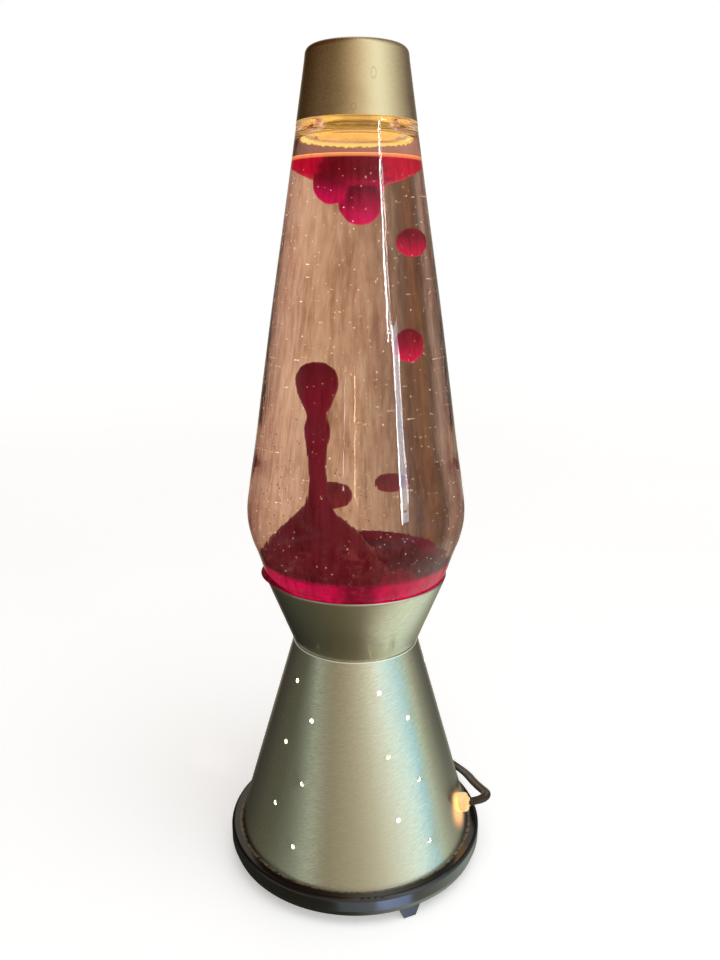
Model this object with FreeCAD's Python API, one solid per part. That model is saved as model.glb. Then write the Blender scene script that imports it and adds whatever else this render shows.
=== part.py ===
import FreeCAD, Part
import math
import os

# Lava lamp: a tapered glass bottle of liquid and wax, standing in an hourglass metal base with a bulb inside.
# Millimetres, +Z up. The origin is on the table, on the lamp's axis. The front faces -Y.

# Whole lamp
TOTAL_HEIGHT = 432.0

# Base: black foot ring, lower cone and upper cup of spun sheet
RING_RADIUS = 72.8
RING_BOTTOM = 6.0
RING_TOP = 16.9
FOOT_ANGLES = (-66.0, 54.0, 174.0)
SHEET = 0.9
CONE_BOTTOM_RADIUS = 67.0
WAIST_RADIUS = 34.5
WAIST_HEIGHT = 131.6
CUP_RIM_RADIUS = 49.7
CUP_RIM_HEIGHT = 170.7
ACCESS_RADIUS = 27.0
RIVET_CIRCLE = 29.4
RIVET_RADIUS = 1.2
RIVET_HEAD = 1.9

# Rows of pinholes in the cone, in staggered pairs of columns
PINHOLE_RADIUS = 1.15
PINHOLE_ROWS = 6
PINHOLE_LOWEST = 33.4
PINHOLE_PITCH = 16.4
PINHOLE_GROUPS = 5
PINHOLE_FIRST_ANGLE = -143.3
PINHOLE_STAGGER = 21.3
PINHOLE_DRIFT = 1.15
PINHOLE_DRILL = 10.0

# Globe
GLASS = 2.4
GLOBE_FOOT = 133.7
GLOBE_LEDGE = 398.7
NECK_RADIUS = 13.5
MOUTH_HEIGHT = 418.0
SHOULDER = 28.9
GLOBE_WALL = [
    (36.9, 143.0), (40.4, 152.0), (43.7, 160.0), (48.3, 170.7), (49.6, 173.6), (52.9, 183.6), (56.6, 194.4),
    (58.1, 205.2), (56.5, 220.3), (53.0, 241.9), (48.6, 272.2), (42.8, 311.0), (35.9, 354.2), (29.4, 395.5)]
# Underside of the bottle's thick shoulder, from the wall to the bore of the neck
GLOBE_CEILING = [
    (28.0, 389.0), (27.2, 391.6), (25.0, 393.2), (20.0, 394.6), (15.0, 397.5), (12.0, 402.5), (11.1, 409.5)]

# Liquid and wax
LIQUID_LEVEL = 382.0
WAX_LEVEL = 177.0
STEM_AXIS = (-15.5, -2.0)
# Free drops of wax: node, centre, radius, half height
DROPS = [
    ("wax_drop_upper", (22.5, -8.0, 342.6), 7.0, 6.8),
    ("wax_drop_middle", (22.0, -14.0, 294.0), 6.6, 8.3),
    ("wax_drop_rear_right", (13.5, 13.0, 218.0), 6.8, 5.0),
    ("wax_drop_rear_left", (-9.2, 18.0, 210.0), 8.0, 7.0),
]
DROP_CLEARANCE = 0.3
# Wire coil at the foot of the bottle
SPRING_RADIUS = 26.0
SPRING_THICKNESS = 2.6

# Cap
CAP_BOTTOM_RADIUS = 29.1
CAP_TOP_RADIUS = 24.8
CAP_SHOULDER = 427.3

# Lampholder and bulb
PLATE_TOP = 8.5
HOLDER_BOTTOM = 14.0
HOLDER_TOP = 63.0
BULB_TIP = 38.0
BULB_LENGTH = 89.0

# Bushing and cord
BUSHING_ANGLE = -14.0
BUSHING_HEIGHT = 33.4
BUSHING_NOSE = 5.5
BUSHING_TAIL = -6.0
BUSHING_HOLE = 4.9
CORD_RADIUS = 2.0
COIL_CENTRE = (0.0, 134.0)
COIL_RADIUS = 32.0
PLUG_BACK = (-46.0, 108.0, 7.0)

UP = FreeCAD.Vector(0, 0, 1)
ORIGIN = FreeCAD.Vector(0, 0, 0)
CONE_SLOPE = (CONE_BOTTOM_RADIUS - WAIST_RADIUS) / (WAIST_HEIGHT - RING_TOP)
CUP_SLOPE = (CUP_RIM_RADIUS - WAIST_RADIUS) / (CUP_RIM_HEIGHT - WAIST_HEIGHT)
# The sheet's thickness measured along a radius
CONE_WALL = SHEET * math.hypot(1, CONE_SLOPE)
CUP_WALL = SHEET * math.hypot(1, CUP_SLOPE)
GLOBE_FLOOR = GLOBE_FOOT + GLASS + 0.6


def point(radius, height):
    """A point of an outline in the XZ plane."""
    return FreeCAD.Vector(radius, 0, height)


def save(node, *solids):
    """Write one node, made of one or more separate solids."""
    shape = solids[0] if len(solids) == 1 else Part.makeCompound(list(solids))
    shape.exportStep("parts/" + node + ".step")


def turned(outline):
    """Solid of revolution from a closed outline of (radius, height) corners."""
    corners = [point(radius, height) for radius, height in outline]
    return spun(Part.makePolygon(corners + corners[:1]).Edges)


def spun(edges):
    """Solid of revolution from the edges of a closed outline."""
    solid = Part.Face(Part.Wire(edges)).revolve(ORIGIN, UP, 360)
    if solid.Volume < 0:
        solid.reverse()
    return solid


def smooth(points):
    """A smooth edge through (radius, height) points."""
    curve = Part.BSplineCurve()
    curve.interpolate([point(radius, height) for radius, height in points])
    return curve.toShape()


def chain(points):
    """Straight edges through (radius, height) points."""
    return Part.makePolygon([point(radius, height) for radius, height in points]).Edges


def turn(shape, degrees):
    """A copy turned about the lamp's axis."""
    copy = shape.copy()
    copy.rotate(ORIGIN, UP, degrees)
    return copy


def cylinder(radius, bottom, top, x=0.0, y=0.0):
    return Part.makeCylinder(radius, top - bottom, FreeCAD.Vector(x, y, bottom))


def ball(centre, radius):
    return Part.makeSphere(radius, FreeCAD.Vector(*centre))


def ellipsoid(centre, radius, half_height):
    """A drop of wax, round from above and stretched or flattened along Z."""
    angles = [math.radians(-75 + 15 * i) for i in range(11)]
    side = [(radius * math.cos(a), half_height * math.sin(a)) for a in angles]
    outline = [(0, -half_height)] + side + [(0, half_height)]
    edges = [smooth(outline), Part.makeLine(point(0, half_height), point(0, -half_height))]
    return placed(spun(edges), *centre)


def cone_radius(height):
    """Outside radius of the lower cone."""
    return CONE_BOTTOM_RADIUS - (height - RING_TOP) * CONE_SLOPE


def wire_path(points):
    """Straight runs joined by tangent arcs, each as large as its two runs allow."""
    corners = [FreeCAD.Vector(*p) for p in points]
    edges = []
    radii = []
    start = corners[0]
    for before, corner, after in zip(corners, corners[1:], corners[2:]):
        back = (before - corner).normalize()
        ahead = (after - corner).normalize()
        half_turn = (math.pi - back.getAngle(ahead)) / 2
        reach = 0.45 * min((before - corner).Length, (after - corner).Length)
        radius = reach / math.tan(half_turn)
        radii.append(radius)
        bisector = (back + ahead).normalize()
        to_centre = math.hypot(radius, reach)
        middle = corner + bisector * (to_centre - radius)
        first = corner + back * reach
        last = corner + ahead * reach
        edges.append(Part.LineSegment(start, first).toShape())
        edges.append(Part.Arc(first, middle, last).toShape())
        start = last
    edges.append(Part.LineSegment(start, corners[-1]).toShape())
    return Part.Wire(edges), radii


def tube(points, radius, name):
    """A round wire or cord along a route of corner points."""
    path, radii = wire_path(points)
    direction = FreeCAD.Vector(*points[1]) - FreeCAD.Vector(*points[0])
    section = Part.Wire(Part.makeCircle(radius, FreeCAD.Vector(*points[0]), direction))
    solid = path.makePipeShell([section], True, True)
    expected = math.pi * radius ** 2 * path.Length
    print(name, "length", round(path.Length, 1), "volume ratio", round(solid.Volume / expected, 4))
    print(name, "radii", [round(r, 1) for r in radii])
    return solid


def base_ring():
    """Moulded foot ring: round outer wall, seat for the cone's hem, three feet and three screw bosses."""
    spigot_inner = 60.5
    hem_outer = cone_radius(14.0)
    hem_inner = hem_outer - CONE_WALL
    top_inner = cone_radius(RING_TOP)
    lip = 1.8
    outline = chain([
        (spigot_inner, RING_BOTTOM + 2.6), (spigot_inner, 24.0), (62.5, 24.0), (62.5, 14.0),
        (hem_outer, 14.0), (top_inner, RING_TOP), (RING_RADIUS - lip, RING_TOP)])
    outline.append(Part.Arc(point(RING_RADIUS - lip, RING_TOP),
                            point(RING_RADIUS - 0.29 * lip, RING_TOP - 0.29 * lip),
                            point(RING_RADIUS, RING_TOP - lip)).toShape())
    outline += chain([(RING_RADIUS, RING_TOP - lip), (RING_RADIUS, 9.4), (RING_RADIUS - 1.2, RING_BOTTOM),
                      (hem_inner, RING_BOTTOM), (hem_inner, RING_BOTTOM + 2.6), (spigot_inner, RING_BOTTOM + 2.6)])
    ring = spun(outline)
    ring = ring.fuse([foot(angle) for angle in FOOT_ANGLES])
    for angle in FOOT_ANGLES:
        boss = turn(cylinder(3.8, PLATE_TOP, 20.0, x=57.2), angle + 60)
        hole = turn(cylinder(1.3, PLATE_TOP, 18.0, x=57.2), angle + 60)
        ring = ring.fuse(boss).cut(hole)
    return ring.removeSplitter()


def foot(angle):
    """One tapered foot under the ring, narrow where it meets the table."""
    top, bottom, shallow = 6.2, 3.4, 1.0
    across = [(67.0, -top, RING_BOTTOM + shallow), (67.0, -bottom, 0), (67.0, bottom, 0),
              (67.0, top, RING_BOTTOM + shallow)]
    corners = [FreeCAD.Vector(*p) for p in across]
    face = Part.Face(Part.makePolygon(corners + corners[:1]))
    return turn(face.extrude(FreeCAD.Vector(4.6, 0, 0)), angle)


def lower_cone():
    """Spun cone with a turned-in flange at the waist, pinholes and the bushing's hole."""
    bottom = 14.0
    top = WAIST_HEIGHT
    outer = cone_radius(bottom)
    cone = turned([
        (outer - CONE_WALL, bottom), (outer, bottom), (WAIST_RADIUS, top), (ACCESS_RADIUS, top),
        (ACCESS_RADIUS, top - SHEET), (cone_radius(top - SHEET) - CONE_WALL, top - SHEET)])
    drills = []
    for group in range(PINHOLE_GROUPS):
        for row in range(PINHOLE_ROWS):
            height = PINHOLE_LOWEST + PINHOLE_PITCH * (PINHOLE_ROWS - 1 - row)
            shift = PINHOLE_STAGGER if row % 2 else PINHOLE_DRIFT * row
            angle = PINHOLE_FIRST_ANGLE + 360 / PINHOLE_GROUPS * group + shift
            start = point(cone_radius(height) - PINHOLE_DRILL / 2, height)
            drill = Part.makeCylinder(PINHOLE_RADIUS, PINHOLE_DRILL, start, FreeCAD.Vector(1, 0, 0))
            drills.append(turn(drill, angle))
    for hole in waist_holes():
        drills.append(hole)
    drills.append(in_bushing_place(Part.makeCylinder(BUSHING_HOLE, 8, FreeCAD.Vector(0, 0, -5))))
    return cone.cut(drills)


def upper_cup():
    """Spun cup that the globe stands in, open at the top and with the same access hole in its floor."""
    floor = WAIST_HEIGHT
    inner_foot = WAIST_RADIUS - CUP_WALL + SHEET * CUP_SLOPE
    cup = turned([
        (ACCESS_RADIUS, floor), (WAIST_RADIUS, floor), (CUP_RIM_RADIUS, CUP_RIM_HEIGHT),
        (CUP_RIM_RADIUS - CUP_WALL, CUP_RIM_HEIGHT), (inner_foot, floor + SHEET), (ACCESS_RADIUS, floor + SHEET)])
    return cup.cut(waist_holes())


def waist_holes():
    """Three holes through both waist flanges."""
    hole = cylinder(RIVET_RADIUS, WAIST_HEIGHT - 2, WAIST_HEIGHT + 2, x=RIVET_CIRCLE)
    return [turn(hole, 120 * i) for i in range(3)]


def waist_rivets():
    """Rivets with a head above and below the two flanges."""
    under = WAIST_HEIGHT - SHEET
    over = WAIST_HEIGHT + SHEET
    shank = cylinder(RIVET_RADIUS, under - 1, over + 0.6, x=RIVET_CIRCLE)
    heads = [cylinder(RIVET_HEAD, under - 1, under, x=RIVET_CIRCLE),
             cylinder(RIVET_HEAD, over, over + 0.6, x=RIVET_CIRCLE)]
    rivet = shank.fuse(heads).removeSplitter()
    return [turn(rivet, 120 * i) for i in range(3)]


def globe_gasket():
    """Flat heat-proof ring between the cup's floor and the globe, notched round the rivet heads."""
    bottom = WAIST_HEIGHT + SHEET
    ring = turned([(27.6, bottom), (33.2, bottom), (33.2, GLOBE_FOOT), (27.6, GLOBE_FOOT)])
    notch = cylinder(RIVET_HEAD + 0.4, bottom, GLOBE_FOOT, x=RIVET_CIRCLE)
    return ring.cut([turn(notch, 120 * i) for i in range(3)])


def bottom_plate():
    """Closing disc under the lamp, with a ring of vent holes and holes for its three screws."""
    bottom = 7.0
    plate = cylinder(65.6, bottom, PLATE_TOP)
    holes = [turn(cylinder(2.5, bottom, PLATE_TOP, x=46.0), 22.5 * i) for i in range(16)]
    holes += [turn(cylinder(1.6, bottom, PLATE_TOP, x=57.2), angle + 60) for angle in FOOT_ANGLES]
    holes += [cylinder(1.6, bottom, PLATE_TOP, x=side * 34.0) for side in (-1, 1)]
    return plate.cut(holes)


def pan_screw(radius, head_radius, head_height, length, recess=1.4):
    """Cross-recess screw standing on its head: the head is below z = 0 and the shank above."""
    screw = cylinder(head_radius, -head_height, 0).fuse(cylinder(radius, 0, length))
    slots = [Part.makeBox(recess * 2.4, 0.7, head_height / 2,
                          FreeCAD.Vector(-recess * 1.2, -0.35, -head_height)),
             Part.makeBox(0.7, recess * 2.4, head_height / 2,
                          FreeCAD.Vector(-0.35, -recess * 1.2, -head_height))]
    return screw.cut(slots).removeSplitter()


def placed(shape, x, y, z):
    copy = shape.copy()
    copy.translate(FreeCAD.Vector(x, y, z))
    return copy


def plate_screws():
    """Screws up through the bottom plate into the ring's bosses."""
    screw = placed(pan_screw(1.3, 3.0, 1.6, 10.0), 57.2, 0, 7.0)
    return [turn(screw, angle + 60) for angle in FOOT_ANGLES]


def socket_bracket():
    """Hat-shaped strap that holds the lampholder over the bottom plate."""
    gauge = 1.2
    outline = [(-40, PLATE_TOP), (-26, PLATE_TOP), (-26, HOLDER_BOTTOM - gauge), (26, HOLDER_BOTTOM - gauge),
               (26, PLATE_TOP), (40, PLATE_TOP), (40, PLATE_TOP + gauge), (26 + gauge, PLATE_TOP + gauge),
               (26 + gauge, HOLDER_BOTTOM), (-26 - gauge, HOLDER_BOTTOM), (-26 - gauge, PLATE_TOP + gauge),
               (-40, PLATE_TOP + gauge)]
    corners = [FreeCAD.Vector(x, -8, z) for x, z in outline]
    strap = Part.Face(Part.makePolygon(corners + corners[:1])).extrude(FreeCAD.Vector(0, 16, 0))
    holes = [cylinder(1.6, PLATE_TOP, HOLDER_BOTTOM, x=side * 34.0) for side in (-1, 1)]
    return strap.cut(holes + [cylinder(2.2, PLATE_TOP, HOLDER_BOTTOM)])


def bracket_rivets():
    """Two rivets through the bottom plate and the strap's feet."""
    top = PLATE_TOP + 1.2
    rivets = []
    for side in (-1, 1):
        shank = cylinder(1.6, 6.0, top + 1.0, x=side * 34.0)
        heads = [cylinder(3.0, 6.0, 7.0, x=side * 34.0), cylinder(2.8, top, top + 1.0, x=side * 34.0)]
        rivets.append(shank.fuse(heads).removeSplitter())
    return rivets


def lampholder_body():
    """Moulded lampholder: stepped outside, deep bore for the screw shell and a floor for the contact."""
    body = turned([
        (2.0, HOLDER_BOTTOM), (17.0, HOLDER_BOTTOM), (17.0, 30.0), (19.0, 32.0), (19.0, HOLDER_TOP),
        (14.2, HOLDER_TOP), (14.2, 35.0), (2.0, 35.0)])
    terminal_pockets = [Part.makeBox(4, 8, 9, FreeCAD.Vector(side * 15.0 - 2, -4, 19.5)) for side in (-1, 1)]
    return body.cut(terminal_pockets)


def lampholder_screw():
    """Screw that holds the lampholder down to the strap."""
    return placed(pan_screw(2.0, 3.4, 2.2, 18.0, recess=1.6), 0, 0, HOLDER_BOTTOM - 1.2)


def terminal_screws():
    """One side screw for each conductor."""
    screw = pan_screw(1.5, 2.6, 1.6, 3.0, recess=1.2)
    screw.rotate(ORIGIN, FreeCAD.Vector(0, 1, 0), -90)
    right = placed(screw, 14.6, 0, 24.0)
    return [right, turn(right, 180)]


def screw_shell():
    """Thin threaded shell inside the lampholder."""
    return turned([(13.4, 36.5), (14.0, 36.5), (14.0, HOLDER_TOP - 1), (13.4, HOLDER_TOP - 1)])


def centre_contact():
    """Sprung contact on the floor of the lampholder."""
    return turned([(0.0, 35.0), (4.5, 35.0), (4.5, 35.8), (3.0, BULB_TIP), (0.0, BULB_TIP)])


def thread_outline(start, turns, pitch, crest, root):
    """The rolled thread of a bulb's cap, drawn as rings."""
    outline = []
    for i in range(turns):
        outline += [(root, start + pitch * i), (crest, start + pitch * (i + 0.5))]
    return outline + [(root, start + pitch * turns)]


def envelope_solid(neck, radius, middle):
    """A bulb's pear shape: a neck outline closed by a round dome."""
    dome = [(radius * math.cos(math.radians(a)), middle + radius * math.sin(math.radians(a)))
            for a in (0, 20, 40, 60, 75)]
    outline = neck + dome + [(0, middle + radius)]
    edges = [smooth(outline)] + chain([outline[-1], (0, neck[0][1]), neck[0]])
    return spun(edges)


def bulb_parts():
    """Incandescent bulb: screw cap, insulator, tip, envelope, stem, support wires and filament."""
    tip = turned([(0, BULB_TIP), (4.0, BULB_TIP), (4.6, BULB_TIP + 1.2), (0, BULB_TIP + 1.2)])
    insulator = turned([(0, BULB_TIP + 1.2), (4.8, BULB_TIP + 1.2), (10.4, BULB_TIP + 5.0), (0, BULB_TIP + 5.0)])
    shell_start = BULB_TIP + 5.0
    shell_top = BULB_TIP + 27.0
    thread = thread_outline(shell_start + 1, 5, 3.6, 13.0, 12.2)
    shell = turned([(10.4, shell_start), (12.2, shell_start)] + thread
                   + [(12.6, shell_top), (11.8, shell_top), (11.8, shell_start + 1), (10.4, shell_start + 1)])
    save("bulb_contact_tip", tip)
    save("bulb_insulator", insulator)
    save("bulb_screw_cap", shell)

    wide = 23.8
    middle = BULB_TIP + BULB_LENGTH - wide
    outer = [(11.4, shell_top - 6), (11.4, shell_top + 1), (14.0, shell_top + 7), (20.8, middle - 12)]
    outside = envelope_solid(outer, wide, middle)
    hollow = envelope_solid([(r - 0.7, z) for r, z in outer], wide - 0.7, middle)
    save("bulb_envelope", outside.cut(hollow))

    stem_top = middle - 15
    stem = turned([(0, shell_top - 6), (8.0, shell_top - 6), (3.0, shell_top + 6), (2.6, stem_top), (0, stem_top)])
    save("bulb_stem", stem)
    supports = []
    for side in (-1, 1):
        route = [(side * 1.6, 0, stem_top), (side * 2.2, 0, stem_top + 5), (side * 10.0, 0, middle - 4),
                 (side * 11.0, 0, middle)]
        supports.append(tube(route, 0.35, "bulb_support_wire"))
    save("bulb_support_wires", *supports)
    filament = Part.makeCylinder(0.6, 20.6, FreeCAD.Vector(-10.3, 0, middle + 0.4), FreeCAD.Vector(1, 0, 0))
    save("bulb_filament", filament)


def in_bushing_place(shape):
    """Move a shape made along +Z from the origin to the cone's wall, square to it and pointing out."""
    shape = shape.copy()
    tilt = 90 - math.degrees(math.atan(CONE_SLOPE))
    shape.rotate(ORIGIN, FreeCAD.Vector(0, 1, 0), tilt)
    shape.translate(point(cone_radius(BUSHING_HEIGHT), BUSHING_HEIGHT))
    return turn(shape, BUSHING_ANGLE)


def bushing_spot(distance):
    """The point on the bushing's axis at a distance outside the cone's wall."""
    marker = in_bushing_place(Part.Vertex(FreeCAD.Vector(0, 0, distance)))
    return tuple(marker.Point)


def strain_relief():
    """Snap-in bushing that grips the flat cord: a round flange, a tapered nose and a tail inside."""
    bushing = turned([
        (0, BUSHING_TAIL), (4.2, BUSHING_TAIL), (4.6, -SHEET), (BUSHING_HOLE, -SHEET), (BUSHING_HOLE, 0.0),
        (6.1, 0.0), (6.1, 1.6),
        (4.9, 2.4), (4.0, BUSHING_NOSE), (0, BUSHING_NOSE)])
    return in_bushing_place(bushing)


def inner_leads():
    """The cord's two conductors, from the bushing's tail to the lampholder's terminals."""
    x, y, z = bushing_spot(BUSHING_TAIL)
    route_right = [(x, y - 1.2, z), (x - 7, y + 0.5, z - 3), (x - 14, y + 5.5, z - 5), (30, -2.0, 24.0),
                   (20.5, 0, 24.0)]
    route_left = [(x, y + 1.4, z + 1), (x - 7, y + 7, z - 2), (40, 14, 27), (28, 24, 25), (10, 29, 24),
                  (-10, 28, 24), (-24, 18, 24), (-26.5, 6.0, 24), (-20.5, 0.5, 24.0)]
    return tube(route_right, 0.9, "right_lead"), tube(route_left, 0.9, "left_lead")


def cord():
    """The lead from the bushing's nose, down behind the lamp and into its coil."""
    x, y, z = bushing_spot(BUSHING_NOSE)
    route = [(x, y, z), (x + 7.0, y - 1.4, z + 2.2), (x + 11.5, y + 7.5, z + 0.2), (x + 8.5, y + 18, z - 5.0),
             (72.0, 17, 25.0), (71.0, 31, 18.5), (69.5, 46, 12.5), (66.0, 61, 7.5), (61.0, 76, 4), (54, 90, 2.2),
             (45.5, 103, 2.0), (41.5, 118, 2.0), (39.0, 134, 2.0)]
    return tube(route, CORD_RADIUS, "power_cord")


def cord_tail():
    """The short end of the lead, from the coil to the plug."""
    x, y, z = PLUG_BACK
    return tube([(-37.0, 142.0, 8.5), (-42.5, 125.5, 8.0), (x, y, z)], CORD_RADIUS, "power_cord_tail")


def cord_coil():
    """The outside shape of the stored turns."""
    half_width = 9.2
    height = 11.6
    edge = 3.0
    outline = [(COIL_RADIUS - half_width, edge), (COIL_RADIUS - half_width + edge, 0),
               (COIL_RADIUS + half_width - edge, 0), (COIL_RADIUS + half_width, edge),
               (COIL_RADIUS + half_width, height - edge), (COIL_RADIUS + half_width - edge, height),
               (COIL_RADIUS - half_width + edge, height), (COIL_RADIUS - half_width, height - edge)]
    return placed(turned(outline), COIL_CENTRE[0], COIL_CENTRE[1], 0)


def plug():
    """Two-blade plug lying on the table beside the coil, pointing towards -Y."""
    x, y, z = PLUG_BACK
    grip = Part.makeBox(18.0, 14.0, 13.0, FreeCAD.Vector(x - 9, y - 14, z - 6.5))
    head = Part.makeBox(20.0, 9.0, 2 * z, FreeCAD.Vector(x - 10, y - 23, 0))
    body = grip.fuse(head).removeSplitter()
    body = body.makeFillet(1.6, [e for e in body.Edges if abs(e.tangentAt(e.FirstParameter).y) > 0.9])
    blades = []
    for side, height in ((-1, 6.4), (1, 7.9)):
        blade = Part.makeBox(1.5, 17.5, height, FreeCAD.Vector(x + side * 6.35 - 0.75, y - 40.5, z - height / 2))
        hole = Part.makeCylinder(1.5, 3, FreeCAD.Vector(x + side * 6.35 - 1.5, y - 36.5, z), FreeCAD.Vector(1, 0, 0))
        blades.append(blade.cut(hole))
    return body, blades


def globe_inside():
    """The space inside the glass, up to the mouth."""
    wall = [(r - GLASS, z) for r, z in GLOBE_WALL[:-1]] + GLOBE_CEILING[:1]
    heel = (wall[0][0] - 4.2, GLOBE_FLOOR)
    edges = [Part.makeLine(point(0, GLOBE_FLOOR), point(*heel)),
             Part.makeLine(point(*heel), point(*wall[0])), smooth(wall)]
    edges += chain(GLOBE_CEILING + [(GLOBE_CEILING[-1][0], MOUTH_HEIGHT), (0, MOUTH_HEIGHT), (0, GLOBE_FLOOR)])
    return spun(edges)


def globe_outside():
    """The outside of the bottle, with the ledge that the cap stands on."""
    heel = (GLOBE_WALL[0][0] - 5.0, GLOBE_FOOT)
    edges = [Part.makeLine(point(0, GLOBE_FOOT), point(*heel)),
             Part.makeLine(point(*heel), point(*GLOBE_WALL[0])), smooth(GLOBE_WALL)]
    edges += chain([GLOBE_WALL[-1], (SHOULDER, GLOBE_LEDGE), (27.6, GLOBE_LEDGE), (26.6, 402.4),
                    (23.0, 405.4), (16.0, 408.0), (NECK_RADIUS, 411.0), (NECK_RADIUS, MOUTH_HEIGHT),
                    (0, MOUTH_HEIGHT), (0, GLOBE_FOOT)])
    return spun(edges)


def crown_closure():
    """Pressed metal closure over the bottle's mouth, with its sealing disc."""
    inner = NECK_RADIUS + 0.35
    underside = MOUTH_HEIGHT + 0.6
    top = underside + 0.5
    outside = turned([(0, 412.4), (inner + 0.9, 412.4), (inner + 0.6, top - 1.5), (inner - 1.1, top), (0, top)])
    closure = outside.cut(cylinder(inner, 412.0, underside))
    liner = cylinder(NECK_RADIUS, MOUTH_HEIGHT, MOUTH_HEIGHT + 0.6)
    return closure, liner


def top_cap():
    """Spun cap, hollow, with a rounded top edge."""
    edge = TOTAL_HEIGHT - CAP_SHOULDER
    wall = 0.8
    flat = CAP_TOP_RADIUS - edge
    bend = math.sqrt(0.5)
    edges = chain([(CAP_BOTTOM_RADIUS - wall, GLOBE_LEDGE), (CAP_BOTTOM_RADIUS, GLOBE_LEDGE),
                   (CAP_TOP_RADIUS, CAP_SHOULDER)])
    edges.append(Part.Arc(point(CAP_TOP_RADIUS, CAP_SHOULDER),
                          point(flat + edge * bend, CAP_SHOULDER + edge * bend), point(flat, TOTAL_HEIGHT)).toShape())
    edges += chain([(flat, TOTAL_HEIGHT), (0, TOTAL_HEIGHT), (0, TOTAL_HEIGHT - wall), (flat, TOTAL_HEIGHT - wall)])
    inner = edge - wall
    edges.append(Part.Arc(point(flat, TOTAL_HEIGHT - wall),
                          point(flat + inner * bend, CAP_SHOULDER + inner * bend),
                          point(CAP_TOP_RADIUS - wall, CAP_SHOULDER)).toShape())
    edges += chain([(CAP_TOP_RADIUS - wall, CAP_SHOULDER), (CAP_BOTTOM_RADIUS - wall, GLOBE_LEDGE)])
    return spun(edges)


def wax_stem():
    """The column that rises from the pool: a wide skirt, a thin neck, a bulge and a round head."""
    outline = [(34.0, 172.0), (30.0, 179.0), (25.0, 185.5), (18.5, 193.5), (12.0, 202.0), (7.6, 210.0),
               (4.6, 218.0), (3.2, 228.0), (3.3, 238.0), (4.9, 249.5), (3.9, 258.5), (6.6, 265.5), (8.0, 273.5),
               (6.0, 281.0), (0.0, 284.0)]
    edges = [smooth(outline)] + chain([outline[-1], (0, outline[0][1]), outline[0]])
    return placed(spun(edges), STEM_AXIS[0], STEM_AXIS[1], 0)


def wax_and_liquid(inside):
    """Pool with its column, hanging mass, free drops, wire coil, and the liquid round them."""
    coil = Part.makeTorus(SPRING_RADIUS, SPRING_THICKNESS,
                          FreeCAD.Vector(0, 0, GLOBE_FLOOR + SPRING_THICKNESS + 0.05))
    below = cylinder(60, GLOBE_FOOT, WAX_LEVEL)
    lump = ball((20.0, -35.0, 180.0), 8.7)
    pool = inside.common(below.fuse([wax_stem(), lump])).cut(coil)
    lobes = [ball((1.0, -3.0, 360.0), 9.4), ball((-9.9, -6.0, 369.3), 8.0)]
    sheet = turned([(0, 366.0), (12.0, 367.5), (19.0, 371.5), (25.0, 377.0), (27.8, LIQUID_LEVEL), (0, LIQUID_LEVEL)])
    filled = inside.common(cylinder(60, WAX_LEVEL, LIQUID_LEVEL))
    top_mass = sheet.fuse(lobes)
    bodies = [wax_stem(), lump, top_mass]
    for name, centre, radius, half_height in DROPS:
        save(name, ellipsoid(centre, radius, half_height))
        bodies.append(ball(centre, max(radius, half_height) + DROP_CLEARANCE))
    save("wax_pool_and_column", pool)
    save("wax_hanging_mass", top_mass)
    save("heating_coil", coil)
    save("lamp_liquid", filled.cut(bodies))


def build():
    os.makedirs("parts", exist_ok=True)
    save("base_ring", base_ring())
    save("bottom_plate", bottom_plate())
    save("bottom_plate_screws", *plate_screws())
    save("lower_cone", lower_cone())
    save("upper_cup", upper_cup())
    save("waist_rivets", *waist_rivets())
    save("globe_gasket", globe_gasket())
    save("socket_bracket", socket_bracket())
    save("bracket_rivets", *bracket_rivets())
    save("lampholder_body", lampholder_body())
    save("lampholder_screw", lampholder_screw())
    save("lampholder_screw_shell", screw_shell())
    save("lampholder_centre_contact", centre_contact())
    save("terminal_screws", *terminal_screws())
    bulb_parts()
    save("strain_relief", strain_relief())
    save("inner_leads", *inner_leads())
    save("power_cord", cord())
    save("power_cord_coil", cord_coil())
    save("power_cord_tail", cord_tail())
    body, blades = plug()
    save("plug_body", body)
    save("plug_blades", *blades)
    inside = globe_inside()
    save("globe_glass", globe_outside().cut(inside))
    closure, liner = crown_closure()
    save("crown_closure", closure)
    save("crown_liner", liner)
    wax_and_liquid(inside)
    save("top_cap", top_cap())


build()
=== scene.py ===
import math
import random

import bmesh
import bpy
from mathutils import Matrix, Vector


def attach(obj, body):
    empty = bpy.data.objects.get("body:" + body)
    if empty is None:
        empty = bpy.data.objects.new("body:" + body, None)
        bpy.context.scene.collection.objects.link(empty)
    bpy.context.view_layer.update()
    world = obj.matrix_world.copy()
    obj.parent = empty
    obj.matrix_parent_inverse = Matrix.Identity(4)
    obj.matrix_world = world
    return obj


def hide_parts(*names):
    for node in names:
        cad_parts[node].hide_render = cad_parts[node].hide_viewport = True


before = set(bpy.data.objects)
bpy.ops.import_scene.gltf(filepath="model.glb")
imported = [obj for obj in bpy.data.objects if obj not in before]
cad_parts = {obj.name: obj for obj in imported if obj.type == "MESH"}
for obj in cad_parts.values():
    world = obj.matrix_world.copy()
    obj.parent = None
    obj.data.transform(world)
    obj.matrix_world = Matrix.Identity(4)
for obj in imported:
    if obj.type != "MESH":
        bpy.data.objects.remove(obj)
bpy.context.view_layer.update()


# The view: a camera a little above the middle of the lamp, close in front of it and looking down.
camera_data = bpy.data.cameras.new("camera")
camera_data.sensor_width = 36
camera_data.lens = 32.05
camera_data.shift_x = 0.0036
camera_data.clip_start = 0.01
camera = bpy.data.objects.new("camera", camera_data)
camera.location = (0, -0.4404, 0.3418)
camera.rotation_euler = (math.radians(90 - 15.296), math.radians(-0.147), 0)
bpy.context.collection.objects.link(camera)
bpy.context.scene.camera = camera
bpy.context.scene.view_settings.view_transform = "Standard"


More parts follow.
